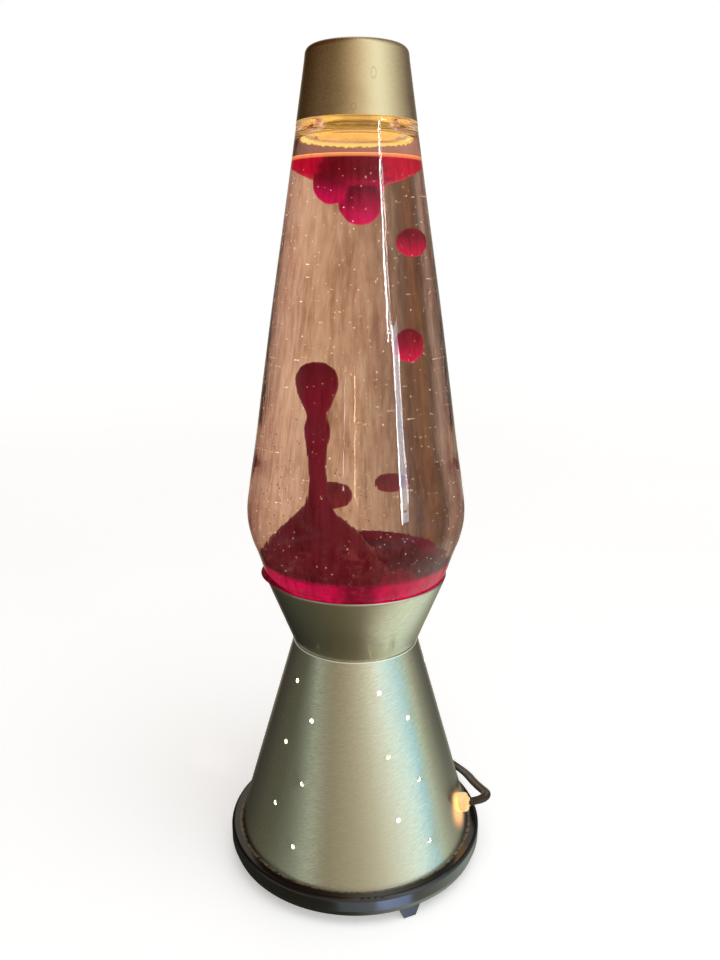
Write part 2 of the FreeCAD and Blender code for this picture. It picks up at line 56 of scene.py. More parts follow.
# The power cord: flat two-core lead with a dark brown jacket. It leaves the bushing, bends sharply back
# behind the lamp, drops to the table and is wound there in a neat coil of seven and a half turns.
COIL_MIDDLE = 134
COIL_STEPS = 16


def line_points(curve):
    """The points that a curve with no bevel follows."""
    holder = bpy.data.objects.new("line", curve)
    mesh = bpy.data.meshes.new_from_object(holder)
    points = [vertex.co.copy() for vertex in mesh.vertices]
    bpy.data.objects.remove(holder)
    bpy.data.meshes.remove(mesh)
    return points


def cord_points():
    """The lead's route in millimetres, from the bushing to the plug."""
    route = [(65.7, -16.4, 34.9), (72.6, -17.8, 37.1), (76.9, -9.2, 35.2), (74.3, 1.6, 31.3),
             (72.0, 17, 25.6), (71.0, 31, 20.2), (69.5, 46, 13.4), (66.0, 61, 7.5),
             (60.0, 76, 3.4), (53, 90, 1.8), (46, 103, 1.6), (41, 118, 1.5)]
    outer, middle, inner = 38.2, 32.6, 27.0
    turns = [(outer, 1.5), (middle, 1.5), (inner, 1.5), (inner, 4.5), (middle, 4.5), (outer, 4.5),
             (middle, 7.5), (outer, 7.5)]
    for number, (radius, height) in enumerate(turns):
        last = number == len(turns) - 1
        after = turns[number if last else number + 1]
        for step in range(COIL_STEPS // 2 + 1 if last else COIL_STEPS):
            ease = max(0.0, step / COIL_STEPS - 0.75) * 4
            across = radius + (after[0] - radius) * ease
            angle = math.tau * step / COIL_STEPS
            route.append((across * math.cos(angle), across * math.sin(angle) + COIL_MIDDLE,
                          height + (after[1] - height) * ease))
    return route + [(-40, 126, 8), (-44, 116, 7.5), (-46, 107, 7)]


cord_curve = bpy.data.curves.new("cord_route", "CURVE")
cord_curve.dimensions = "3D"
cord_curve.twist_mode = "Z_UP"
cord_curve.resolution_u = 4
cord_spline = cord_curve.splines.new("NURBS")
cord_spline.points.add(len(cord_points()) - 1)
for knot, place in zip(cord_spline.points, cord_points()):
    knot.co = (*(Vector(place) / 1000), 1)
cord_spline.order_u = 3
cord_spline.use_endpoint_u = True
cord_path = line_points(cord_curve)

# Half of the section of the two joined cores, turned about for the other half
section_half = [(-2.75, 0), (-2.35, 0.98), (-1.42, 1.4), (-0.5, 1.12), (0, 0.82), (0.5, 1.12), (1.42, 1.4),
                (2.35, 0.98)]
section_curve = bpy.data.curves.new("cord_section", "CURVE")
section_curve.dimensions = "2D"
section_curve.resolution_u = 2
section_spline = section_curve.splines.new("BEZIER")
section = section_half + [(-x, -y) for x, y in section_half]
section_spline.bezier_points.add(len(section) - 1)
for knot, (x, y) in zip(section_spline.bezier_points, section):
    knot.co = (x / 1000, y / 1000, 0)
    knot.handle_left_type = "AUTO"
    knot.handle_right_type = "AUTO"
section_spline.use_cyclic_u = True
section_object = bpy.data.objects.new("cord_section", section_curve)
cord_curve.bevel_mode = "OBJECT"
cord_curve.bevel_object = section_object
cord_curve.use_fill_caps = True
cord_holder = bpy.data.objects.new("cord_holder", cord_curve)
for helper in (cord_holder, section_object):
    bpy.context.collection.objects.link(helper)
cord_mesh = bpy.data.meshes.new_from_object(cord_holder.evaluated_get(bpy.context.evaluated_depsgraph_get()))
cord_mesh.name = "lead"
for polygon in cord_mesh.polygons:
    polygon.use_smooth = True
lead = bpy.data.objects.new("lead", cord_mesh)
bpy.context.collection.objects.link(lead)
for spare in (cord_holder, section_object):
    bpy.data.objects.remove(spare)


def put(tree, socket, value):
    """Link a socket, or set its value."""
    if isinstance(value, bpy.types.NodeSocket):
        tree.links.new(value, socket)
    elif socket.type == "RGBA" and len(value) == 3:
        socket.default_value = (*value, 1)
    else:
        socket.default_value = value


def new_finish(name, colour, roughness, metallic=0.0):
    """A material: its node tree and its surface shader."""
    material = bpy.data.materials.new(name)
    material.use_nodes = True
    tree = material.node_tree
    surface = tree.nodes["Principled BSDF"]
    put(tree, surface.inputs["Base Color"], colour)
    put(tree, surface.inputs["Roughness"], roughness)
    put(tree, surface.inputs["Metallic"], metallic)
    return material, tree, surface


def place_on(tree, stretch=(1, 1, 1), lean=(0, 0, 0), source="Object"):
    """Coordinates on the piece, stretched and turned."""
    coordinates = tree.nodes.new("ShaderNodeTexCoord")
    mapping = tree.nodes.new("ShaderNodeMapping")
    put(tree, mapping.inputs["Vector"], coordinates.outputs[source])
    put(tree, mapping.inputs["Scale"], stretch)
    put(tree, mapping.inputs["Rotation"], lean)
    return mapping.outputs[0]


def noise(tree, vector, scale=1.0, detail=2.0, distortion=0.0):
    node = tree.nodes.new("ShaderNodeTexNoise")
    put(tree, node.inputs["Vector"], vector)
    put(tree, node.inputs["Scale"], scale)
    put(tree, node.inputs["Detail"], detail)
    put(tree, node.inputs["Distortion"], distortion)
    return node.outputs["Fac"]


def ramp(tree, factor, *stops):
    """Colours laid along a factor: each stop is its place and its colour or grey."""
    node = tree.nodes.new("ShaderNodeValToRGB")
    elements = node.color_ramp.elements
    while len(elements) < len(stops):
        elements.new(1.0)
    for element, (place, colour) in zip(elements, stops):
        element.position = place
        shade = colour if isinstance(colour, tuple) else (colour, colour, colour)
        element.color = (*shade, 1)
    put(tree, node.inputs[0], factor)
    return node.outputs[0]


def count(tree, operation, *values):
    """A Math node."""
    node = tree.nodes.new("ShaderNodeMath")
    node.operation = operation
    for socket, value in zip(node.inputs, values):
        put(tree, socket, value)
    return node.outputs[0]


def vector_count(tree, operation, *values):
    """A Vector Math node, and the number or the vector that it gives."""
    node = tree.nodes.new("ShaderNodeVectorMath")
    node.operation = operation
    for socket, value in zip(node.inputs, values):
        put(tree, socket, value)
    return node.outputs["Value" if operation in ("LENGTH", "DISTANCE", "DOT_PRODUCT") else "Vector"]


def axes_of(tree, vector):
    """A vector's X, Y and Z."""
    node = tree.nodes.new("ShaderNodeSeparateXYZ")
    put(tree, node.inputs[0], vector)
    return node.outputs


def fit(tree, value, low, high, to_low=0.0, to_high=1.0):
    """A value's range carried smoothly to another range."""
    node = tree.nodes.new("ShaderNodeMapRange")
    node.interpolation_type = "SMOOTHSTEP"
    for socket, number in zip(node.inputs, (value, low, high, to_low, to_high)):
        put(tree, socket, number)
    return node.outputs[0]


def blend_colours(tree, factor, first, second, way="MIX"):
    node = tree.nodes.new("ShaderNodeMix")
    node.data_type = "RGBA"
    node.blend_type = way
    put(tree, node.inputs["Factor"], factor)
    put(tree, node.inputs[6], first)
    put(tree, node.inputs[7], second)
    return node.outputs[2]


def relief(tree, surface, height, strength, depth):
    node = tree.nodes.new("ShaderNodeBump")
    put(tree, node.inputs["Height"], height)
    put(tree, node.inputs["Strength"], strength)
    put(tree, node.inputs["Distance"], depth)
    tree.links.new(node.outputs[0], surface.inputs["Normal"])


jacket, tree, surface = new_finish("cord_jacket", (0.022, 0.012, 0.010), 0.36)
grain = noise(tree, place_on(tree), 1500, 3)
put(tree, surface.inputs["Base Color"],
    ramp(tree, noise(tree, place_on(tree), 60, 3), (0.3, (0.022, 0.012, 0.009)), (0.7, (0.055, 0.030, 0.021))))
put(tree, surface.inputs["Roughness"], fit(tree, grain, 0.3, 0.7, 0.30, 0.48))
relief(tree, surface, grain, 0.15, 0.0002)
lead.data.materials.clear()
lead.data.materials.append(jacket)


# The plug at the cord's end: brown moulded body with a waisted grip, and two flat brass blades,
# one a little wider, each with a hole near its tip.
def new_piece(name, bm, smooth_angle=30):
    """An object at the origin from a finished bmesh."""
    mesh = bpy.data.meshes.new(name)
    bm.to_mesh(mesh)
    bm.free()
    for polygon in mesh.polygons:
        polygon.use_smooth = True
    mesh.set_sharp_from_angle(angle=math.radians(smooth_angle))
    piece = bpy.data.objects.new(name, mesh)
    bpy.context.collection.objects.link(piece)
    return piece


def finish_node(material, *names):
    """Give carried-over nodes a material."""
    for name in names:
        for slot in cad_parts[name].material_slots:
            slot.material = material


def soft_block(bm, low, high, edge, rounds=3):
    """A box with rounded edges between two corners, in millimetres."""
    block = bmesh.ops.create_cube(bm, size=1)
    size = [(b - a) / 1000 for a, b in zip(low, high)]
    middle = [(a + b) / 2000 for a, b in zip(low, high)]
    bmesh.ops.scale(bm, vec=size, verts=block["verts"])
    bmesh.ops.translate(bm, vec=middle, verts=block["verts"])
    edges = {edge for vertex in block["verts"] for edge in vertex.link_edges}
    bmesh.ops.bevel(bm, geom=list(edges), offset=edge / 1000, segments=rounds, profile=0.5, affect="EDGES",
                    material=-1)


bm = bmesh.new()
soft_block(bm, (-56, 85, 0), (-36, 94, 14), 1.8)
soft_block(bm, (-54.5, 93, 1.2), (-37.5, 103, 12.8), 2.6)
soft_block(bm, (-51.5, 101, 3.2), (-40.5, 108, 10.8), 2.2)
for rib in range(4):
    soft_block(bm, (-55.2, 94.6 + 2.0 * rib, 2.6), (-36.8, 95.6 + 2.0 * rib, 11.4), 0.4, 2)
plug_moulding = new_piece("plug_moulding", bm)
plug_moulding.data.materials.append(jacket)
brass, tree, surface = new_finish("brass", (0.62, 0.43, 0.18), 0.28, 1.0)
put(tree, surface.inputs["Roughness"], fit(tree, noise(tree, place_on(tree), 700, 3), 0.3, 0.7, 0.22, 0.42))
finish_node(brass, "plug_blades", "terminal_screws", "lampholder_screw_shell", "lampholder_centre_contact")
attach(lead, "base")
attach(plug_moulding, "base")
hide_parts("power_cord", "power_cord_coil", "power_cord_tail")
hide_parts("plug_body")


# The studio: a soft surround, dim on the left and bright on the right, that the metals mirror and the
# bottle shows behind its liquid, a soft light overhead, and a pale floor. Each band of the surround is
# a row of colours by degrees round the lamp, with 0 in front. The level one leans as it rises from
# LEAN_FROM to LEAN_TO, and turns back below that.
LEAN = 0.36
LEAN_FROM = -0.2
LEAN_TO = 0.12
TURN_BACK = (1.5, 0.315)


def surround():
    """What the lamp's surfaces mirror, and what its bottle shows behind it."""
    world = bpy.data.worlds.new("studio")
    world.use_nodes = True
    tree = world.node_tree
    tree.nodes.clear()
    direction = tree.nodes.new("ShaderNodeTexCoord").outputs["Generated"]
    split = axes_of(tree, direction)
    turn = count(tree, "ARCTAN2", split["X"], count(tree, "MULTIPLY", split["Y"], -1.0))
    place = count(tree, "MULTIPLY_ADD", turn, 1 / math.tau, 0.5)
    above = [(-180, (0.70, 0.64, 0.54)), (-164, (0.40, 0.34, 0.26)), (-150, (0.02, 0.006, 0.001)),
             (-114, (0.06, 0.022, 0.008)), (-88, (0.09, 0.042, 0.019)), (-62, (0.12, 0.070, 0.042)),
             (-39, (0.20, 0.145, 0.095)), (-18, (0.40, 0.31, 0.24)), (3, (0.70, 0.60, 0.50)),
             (24, (0.93, 0.92, 0.86)), (46, (1.12, 1.24, 1.22)), (69, (0.84, 0.86, 0.82)),
             (97, (0.45, 0.43, 0.39)), (126, (0.17, 0.14, 0.15)), (148, (0.10, 0.08, 0.08)),
             (162, (0.40, 0.36, 0.30)), (180, (0.70, 0.64, 0.54))]
    level = [(-180, (0.72, 0.66, 0.54)), (-164, (0.40, 0.36, 0.28)), (-148, (0.05, 0.045, 0.035)),
             (-125, (0.07, 0.068, 0.055)), (-98, (0.12, 0.12, 0.09)), (-76, (0.19, 0.21, 0.17)),
             (-63, (0.62, 0.72, 0.62)), (-50, (0.28, 0.26, 0.20)), (-14, (0.44, 0.385, 0.28)),
             (6, (0.58, 0.53, 0.41)), (26, (0.84, 0.84, 0.72)), (41, (1.12, 1.22, 1.12)),
             (52, (0.95, 1.28, 1.34)), (59, (0.36, 0.90, 1.45)), (68, (0.60, 0.84, 0.80)),
             (82, (0.58, 0.66, 0.55)), (98, (0.42, 0.44, 0.35)), (124, (0.17, 0.17, 0.15)),
             (148, (0.10, 0.10, 0.085)), (163, (0.40, 0.37, 0.30)), (180, (0.72, 0.66, 0.54))]
    below = [(-180, (0.36, 0.28, 0.22)), (-160, (0.02, 0.02, 0.016)), (-100, (0.07, 0.07, 0.05)),
             (-35, (0.13, 0.113, 0.068)), (10, (0.20, 0.18, 0.12)), (35, (0.38, 0.35, 0.26)),
             (65, (0.72, 0.72, 0.60)), (100, (0.85, 0.97, 0.80)), (125, (0.72, 0.82, 0.72)),
             (150, (0.30, 0.32, 0.23)), (180, (0.36, 0.28, 0.22))]
    behind_glass = [(-180, (0.58, 0.39, 0.27)), (-171, (0.40, 0.27, 0.19)), (-165, (0.15, 0.085, 0.055)),
                    (-159, (0.22, 0.10, 0.045)), (-152, (0.11, 0.06, 0.04)), (-144, (0.42, 0.30, 0.26)),
                    (-134, (0.26, 0.15, 0.12)), (-122, (0.75, 0.52, 0.48)), (-100, (0.62, 0.50, 0.46)),
                    (0, (0.62, 0.52, 0.42)), (96, (0.85, 0.52, 0.42)), (118, (0.80, 0.40, 0.30)),
                    (132, (0.62, 0.40, 0.32)), (146, (0.66, 0.44, 0.34)), (156, (0.74, 0.50, 0.37)),
                    (168, (0.66, 0.45, 0.32)), (180, (0.58, 0.39, 0.27))]
    height = split["Z"]
    in_front = fit(tree, split["Y"], 0.35, -0.15)
    slant = count(tree, "MINIMUM", count(tree, "MAXIMUM", height, LEAN_FROM), LEAN_TO)
    turned_back = count(tree, "MINIMUM", count(tree, "MULTIPLY_ADD", height, *TURN_BACK), 0.0)
    slant = count(tree, "MULTIPLY", count(tree, "SUBTRACT", slant, turned_back), in_front)
    leaning = count(tree, "MULTIPLY_ADD", slant, LEAN, place)
    high, middle, low, far = [
        ramp(tree, along, *[((angle + 180) / 360, colour) for angle, colour in bands])
        for bands, along in ((above, place), (level, leaning), (below, place), (behind_glass, place))]
    room = blend_colours(tree, fit(tree, height, 0.10, 0.28), middle, high)
    room = blend_colours(tree, fit(tree, height, -0.38, -0.56), room, low)
    rays = tree.nodes.new("ShaderNodeLightPath")
    air = blend_colours(tree, fit(tree, height, 0.03, 0.11), (1, 1, 1), (0.72, 0.46, 0.42))
    room = blend_colours(tree, rays.outputs["Is Transmission Ray"], room,
                         blend_colours(tree, 1.0, far, air, "MULTIPLY"))
    seen = blend_colours(tree, rays.outputs["Is Camera Ray"], room, (1, 1, 1))
    background = tree.nodes.new("ShaderNodeBackground")
    put(tree, background.inputs["Color"], seen)
    out = tree.nodes.new("ShaderNodeOutputWorld")
    put(tree, out.inputs["Surface"], background.outputs[0])
    bpy.context.scene.world = world


surround()


def soft_light(name, spot, target, width, height, power, colour):
    light = bpy.data.lights.new(name, "AREA")
    light.shape = "RECTANGLE"
    light.size = width
    light.size_y = height
    light.energy = power
    light.color = colour
    stand = bpy.data.objects.new(name, light)
    stand.location = spot
    stand.rotation_euler = (Vector(target) - Vector(spot)).to_track_quat("-Z", "Y").to_euler()
    bpy.context.collection.objects.link(stand)
    return stand


overhead = soft_light("overhead", (0.2, -0.3, 1.7), (0, 0, 0.1), 1.6, 1.6, 14, (1, 0.99, 0.98))
overhead.visible_glossy = False
PALE_BLUE = (0.62, 0.86, 1.0)
WHITE = (1.0, 1.0, 1.0)
GOLDEN = (1.0, 0.72, 0.36)
WINDOW_DISTANCE = 1.1
SKY_DISTANCE = 0.75
# Name, direction round the lamp, height, width, tallness, brightness, colour
window_places = [("window_pane", 50, 0.335, 0.130, 0.34, 15, PALE_BLUE),
                 ("window_edge_left", 46.2, 0.335, 0.022, 0.36, 105, WHITE),
                 ("window_edge_right", 53.6, 0.320, 0.012, 0.28, 105, WHITE),
                 ("window_high", 40.2, 0.70, 0.050, 0.44, 75, WHITE),
                 ("window_high_side", 44.5, 0.70, 0.030, 0.44, 26, WHITE),
                 ("far_lamp_middle", -1.5, 0.36, 0.012, 0.20, 75, GOLDEN),
                 ("far_lamp_near", -13, 0.37, 0.008, 0.16, 45, WHITE),
                 ("sky_patch", 46, 0.95, 0.40, 0.16, 20, PALE_BLUE)]
windows = []
for name, around, height, across, tall, bright, colour in window_places:
    is_sky = name == "sky_patch"
    out = SKY_DISTANCE if is_sky else WINDOW_DISTANCE
    spot = (out * math.sin(math.radians(around)), -out * math.cos(math.radians(around)), height)
    aim = (0, 0, 0.02 if is_sky else 0.28)
    windows.append(soft_light(name, spot, aim, across, tall, bright * math.pi * across * tall, colour))
    windows[-1].visible_transmission = name.startswith("far_lamp")
RING_FRONT = (0, -0.07, 0.01)
sheens = [soft_light("table_sheen", (0.16, -0.84, -0.60), RING_FRONT, 1.2, 0.30, 0.8, (0.75, 0.87, 1.0)),
          soft_light("table_sheen_side", (0.47, -0.70, -0.60), RING_FRONT, 0.50, 0.32, 1.0,
                     (0.36, 0.52, 1.0))]
for side in (-1, 1):
    bulb_light = bpy.data.lights.new("bulb_light", "POINT")
    bulb_light.energy = 0.9
    bulb_light.color = (1.0, 0.82, 0.6)
    bulb_light.shadow_soft_size = 0.004
    bulb_place = bpy.data.objects.new("bulb_light", bulb_light)
    bulb_place.location = (side * 0.032, side * -0.012, 0.068)
    bpy.context.collection.objects.link(bulb_place)

bm = bmesh.new()
bmesh.ops.create_circle(bm, cap_ends=True, segments=128, radius=3.0)
floor = new_piece("floor", bm)
pale, tree, surface = new_finish("pale_floor", (0.86, 0.86, 0.86), 0.9)
put(tree, surface.inputs["Specular IOR Level"], 0.1)
put(tree, surface.inputs["Emission Color"], (1, 1, 1))
away = vector_count(tree, "LENGTH", place_on(tree))
put(tree, surface.inputs["Emission Strength"], fit(tree, away, 0.2, 2.6, 0.42, 0.70))
put(tree, surface.inputs["Base Color"],
    ramp(tree, noise(tree, place_on(tree), 3, 4), (0.3, (0.81, 0.83, 0.86)), (0.7, (0.84, 0.86, 0.89))))
floor.data.materials.append(pale)
floor.visible_glossy = False
floor.visible_transmission = False


# The foot ring: a glossy black moulding with three feet. The cone's hem stands in its groove, where
# a line of dust has settled.
gloss_black, tree, surface = new_finish("ring_plastic", (0.006, 0.006, 0.007), 0.1)
put(tree, surface.inputs["Specular IOR Level"], 0.8)
at = place_on(tree)
wear = noise(tree, at, 90, 6)
split = axes_of(tree, place_on(tree))
reach = count(tree, "SQRT", count(tree, "ADD", count(tree, "POWER", split[0], 2.0),
                                  count(tree, "POWER", split[1], 2.0)))
hem = count(tree, "MULTIPLY", fit(tree, reach, 0.0684, 0.0675), fit(tree, noise(tree, at, 420, 5), 0.30, 0.66))
put(tree, surface.inputs["Base Color"],
    blend_colours(tree, hem, ramp(tree, wear, (0.3, (0.002, 0.002, 0.003)), (0.8, (0.006, 0.006, 0.007))),
                  (0.20, 0.16, 0.10)))
put(tree, surface.inputs["Roughness"], count(tree, "ADD", fit(tree, wear, 0.35, 0.75, 0.13, 0.24),
                                             count(tree, "MULTIPLY", hem, 0.5)))
put(tree, surface.inputs["Coat Weight"], 0.4)
put(tree, surface.inputs["Coat Roughness"], 0.2)
relief(tree, surface, noise(tree, at, 35, 2), 0.04, 0.001)
finish_node(gloss_black, "base_ring")


# Under the lamp: a black painted bottom plate with vents, zinc-plated screws and strap, and the rivets.
painted, tree, surface = new_finish("plate_steel", (0.03, 0.03, 0.03), 0.5)
paint = noise(tree, place_on(tree), 900, 3)
put(tree, surface.inputs["Base Color"], ramp(tree, paint, (0.3, 0.02), (0.8, 0.045)))
relief(tree, surface, paint, 0.2, 0.0003)
finish_node(painted, "bottom_plate")
zinc, tree, surface = new_finish("zinc_steel", (0.60, 0.60, 0.62), 0.35, 1.0)
spangle = noise(tree, place_on(tree), 400, 4)
put(tree, surface.inputs["Base Color"],
    ramp(tree, spangle, (0.3, (0.50, 0.50, 0.53)), (0.7, (0.68, 0.67, 0.64))))
put(tree, surface.inputs["Roughness"], fit(tree, spangle, 0.3, 0.7, 0.26, 0.46))
finish_node(zinc, "bottom_plate_screws", "socket_bracket", "lampholder_screw", "bulb_contact_tip")
rivet_metal, tree, surface = new_finish("rivet_metal", (0.66, 0.65, 0.62), 0.3, 1.0)
put(tree, surface.inputs["Roughness"], fit(tree, noise(tree, place_on(tree), 900, 2), 0.3, 0.7, 0.22, 0.4))
finish_node(rivet_metal, "bracket_rivets", "waist_rivets", "bulb_screw_cap")


# The base: a cone and a cup spun from champagne-lacquered aluminium sheet, with fine scratches round them from
# the lathe, joined at the waist. The bulb's point lights light the cone's inside, which also carries a painted
# glow that shows through its pinholes.
def radial_share(tree):
    """How far the surface faces away from the lamp's axis: 1 outside, -1 inside."""
    geometry = tree.nodes.new("ShaderNodeNewGeometry")
    away = vector_count(tree, "NORMALIZE", vector_count(tree, "MULTIPLY", place_on(tree), (1, 1, 0)))
    return vector_count(tree, "DOT_PRODUCT", away, geometry.outputs["True Normal"])


def scratch_place(tree, along, across, climb):
    """Coordinates for scratches that run round the axis and climb as they go."""
    x, y, z = axes_of(tree, place_on(tree))
    reach = count(tree, "SQRT", count(tree, "MULTIPLY_ADD", x, x, count(tree, "MULTIPLY", y, y)))
    turn = count(tree, "ARCTAN2", x, count(tree, "MULTIPLY", y, -1.0))
    risen = count(tree, "SUBTRACT", z, count(tree, "MULTIPLY", count(tree, "MULTIPLY", turn, reach), climb))
    join = tree.nodes.new("ShaderNodeCombineXYZ")
    put(tree, join.inputs[0], count(tree, "MULTIPLY", x, along))
    put(tree, join.inputs[1], count(tree, "MULTIPLY", y, along))
    put(tree, join.inputs[2], count(tree, "MULTIPLY", risen, across))
    return join.outputs[0]


def brushed(name, dark, light, climb, roughness):
    """Sheet metal with fine short scratches round the axis, climbing as the hand tool did."""
    material, tree, surface = new_finish(name, light, roughness, 1.0)
    fine = noise(tree, scratch_place(tree, 420, 5200, climb), 1, 2)
    coarse = noise(tree, scratch_place(tree, 210, 2300, climb), 1, 2)
    smudge = noise(tree, place_on(tree), 38, 5)
    scratches = count(tree, "ADD", count(tree, "MULTIPLY", fine, 0.6), count(tree, "MULTIPLY", coarse, 0.4))
    tint = ramp(tree, scratches, (0.34, dark), (0.66, light))
    tint = blend_colours(tree, fit(tree, smudge, 0.5, 0.8, 0, 0.25), tint, dark)
    put(tree, surface.inputs["Base Color"], tint)
    put(tree, surface.inputs["Roughness"], fit(tree, scratches, 0.35, 0.65, roughness + 0.04, roughness - 0.04))
    put(tree, surface.inputs["Anisotropic"], 0.55)
    put(tree, surface.inputs["Anisotropic Rotation"], 0.25)
    tangent = tree.nodes.new("ShaderNodeTangent")
    tangent.direction_type = "RADIAL"
    tangent.axis = "Z"
    put(tree, surface.inputs["Tangent"], tangent.outputs[0])
    relief(tree, surface, scratches, 0.03, 0.0003)
    return material, tree, surface


CHAMPAGNE_DARK = (0.66, 0.635, 0.50)
CHAMPAGNE_LIGHT = (0.80, 0.78, 0.66)
cone_metal, tree, surface = brushed("spun_metal_cone", CHAMPAGNE_DARK, CHAMPAGNE_LIGHT, 0.25, 0.23)
# Painted glow: the cone's inner face below its top rim glows orange to warm white, and a painted orange glow
# spreads round the bushing.
split = axes_of(tree, place_on(tree))
painted_inside_glow = count(tree, "MULTIPLY", fit(tree, radial_share(tree), 0.45, 0.25),
                 fit(tree, split[2], 0.1305, 0.1295))
from_bushing = vector_count(tree, "DISTANCE", place_on(tree), (0.0590, -0.0208, 0.0334))
painted_bushing_glow = count(tree, "POWER", fit(tree, from_bushing, 0.019, 0.004), 4.0)
put(tree, surface.inputs["Emission Color"],
    blend_colours(tree, painted_inside_glow, (1.0, 0.42, 0.12), (1.0, 0.86, 0.66)))
put(tree, surface.inputs["Emission Strength"],
    count(tree, "ADD", count(tree, "MULTIPLY", painted_inside_glow, 2.6), count(tree, "MULTIPLY", painted_bushing_glow, 1.2)))
finish_node(cone_metal, "lower_cone")


def outline_points(points, cuts=8):
    """A smooth line through (radius, height) places in millimetres, as points in metres."""
    curve = bpy.data.curves.new("outline", "CURVE")
    curve.dimensions = "3D"
    curve.resolution_u = cuts
    spline = curve.splines.new("BEZIER")
    spline.bezier_points.add(len(points) - 1)
    for knot, (radius, height) in zip(spline.bezier_points, points):
        knot.co = (radius / 1000, 0, height / 1000)
        knot.handle_left_type = "AUTO"
        knot.handle_right_type = "AUTO"
    return line_points(curve)


def corners(*points):
    """Outline corners given as (radius, height) in millimetres."""
    return [Vector((radius / 1000, 0, height / 1000)) for radius, height in points]


def turned(outline, closed=True, segments=192, axis_at=(0, 0)):
    """A bmesh turned about a vertical axis from an outline."""
    bm = bmesh.new()
    knots = [bm.verts.new(place) for place in outline]
    pairs = list(zip(knots, knots[1:]))
    if closed:
        pairs.append((knots[-1], knots[0]))
    edges = [bm.edges.new(pair) for pair in pairs]
    bmesh.ops.spin(bm, geom=knots + edges, cent=(0, 0, 0), axis=(0, 0, 1), angle=math.tau, steps=segments,
                   use_merge=True)
    bmesh.ops.remove_doubles(bm, verts=bm.verts, dist=0.000001)
    bmesh.ops.dissolve_degenerate(bm, edges=bm.edges, dist=0.0000001)
    bmesh.ops.recalc_face_normals(bm, faces=bm.faces)
    bmesh.ops.translate(bm, verts=bm.verts, vec=(axis_at[0] / 1000, axis_at[1] / 1000, 0))
    return bm


cup_metal, tree, surface = brushed("spun_metal_cup", CHAMPAGNE_DARK, CHAMPAGNE_LIGHT, 0.22, 0.23)
cup_outline = corners((27, 131.6), (33.4, 131.6), (33.5, 132.25), (34.4, 132.3), (34.75, 132.7))
cup_outline += corners((49.0, 168.9)) + outline_points([(49.4, 170.2), (49.2, 170.9), (48.7, 170.6)], 3)
cup_outline += corners((33.6, 132.9), (33.0, 132.5), (27, 132.5))
cup = new_piece("upper_cup_shell", turned(cup_outline))
cup.data.materials.append(cup_metal)
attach(cup, "base")
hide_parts("upper_cup")

# The cone's rolled top edge, a thin bead at the waist. Its pale glow is a painted highlight that makes it a
# bright line.
waist_outline = [Vector((0.03442 + 0.00034 * math.cos(a), 0, 0.13128 + 0.00034 * math.sin(a)))
                 for a in (math.tau * step / 12 for step in range(12))]
waist_edge = new_piece("waist_edge", turned(waist_outline), 60)
painted_highlight_edge, tree, surface = new_finish("rolled_edge_painted_highlight", (0.93, 0.92, 0.86), 0.25, 1.0)
put(tree, surface.inputs["Roughness"], fit(tree, noise(tree, place_on(tree), 900, 2), 0.3, 0.7, 0.3, 0.45))
put(tree, surface.inputs["Emission Color"], (0.9, 0.88, 0.8))
put(tree, surface.inputs["Emission Strength"], 0.28)
waist_edge.data.materials.append(painted_highlight_edge)
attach(waist_edge, "base")

gasket_felt, tree, surface = new_finish("gasket", (0.62, 0.58, 0.50), 0.9)
fibre = noise(tree, place_on(tree), 1200, 4)
put(tree, surface.inputs["Base Color"], ramp(tree, fibre, (0.3, (0.50, 0.46, 0.38)), (0.7, (0.70, 0.66, 0.58))))
relief(tree, surface, fibre, 0.5, 0.0005)
finish_node(gasket_felt, "globe_gasket")


# The strain relief: a pale nylon bushing that snaps into the cone's wall and grips the cord.
# The bulb's light coming through it is painted on as an orange glow.
nylon, tree, surface = new_finish("bushing_nylon", (0.45, 0.28, 0.12), 0.4)
glow = noise(tree, place_on(tree), 260, 2)
put(tree, surface.inputs["Emission Color"],
    ramp(tree, glow, (0.38, (1.0, 0.58, 0.22)), (0.62, (1.0, 0.76, 0.36))))
put(tree, surface.inputs["Emission Strength"], 0.62)
bm = turned(corners((0, -7.4), (4.1, -7.4), (4.2, -6.6)) + outline_points(
    [(4.9, -6.5), (5.35, -5.9), (5.45, -4.8), (5.45, -3.0), (5.2, -1.9), (4.4, -1.2), (3.2, -1.0)], 4)
    + corners((2.7, -0.9), (2.5, 0.0), (2.2, 0.2), (0, 0.2)), closed=False, segments=64)
bmesh.ops.scale(bm, vec=(1.0, 0.9, 1.0), verts=bm.verts)
outward = Vector((math.cos(math.radians(14)), -math.sin(math.radians(14)), math.tan(math.radians(13))))
upward = Matrix.Translation((0.0657, -0.0164, 0.0349)) @ outward.to_track_quat("Z", "X").to_matrix().to_4x4()
bmesh.ops.transform(bm, matrix=upward, verts=bm.verts)
bushing = new_piece("strain_relief_moulding", bm, 60)
bushing.data.materials.append(nylon)
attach(bushing, "base")
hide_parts("strain_relief")


# Inside the base: a dark moulded lampholder on its strap, the cord's two leads, and a clear bulb
# with a coiled filament.
moulding, tree, surface = new_finish("holder_moulding", (0.03, 0.026, 0.023), 0.45)
put(tree, surface.inputs["Roughness"], fit(tree, noise(tree, place_on(tree), 500, 3), 0.3, 0.7, 0.35, 0.55))
finish_node(moulding, "lampholder_body", "bulb_insulator")
lead_skin, tree, surface = new_finish("lead_jacket", (0.05, 0.03, 0.022), 0.45)
put(tree, surface.inputs["Roughness"], fit(tree, noise(tree, place_on(tree), 900, 2), 0.3, 0.7, 0.4, 0.55))
finish_node(lead_skin, "inner_leads")


def clear_glass(name, tint, bend, shine):
    material, tree, surface = new_finish(name, tint, 0.0)
    put(tree, surface.inputs["Transmission Weight"], 1.0)
    put(tree, surface.inputs["IOR"], bend)
    put(tree, surface.inputs["Specular Tint"], (shine, shine, shine))
    return material, tree, surface


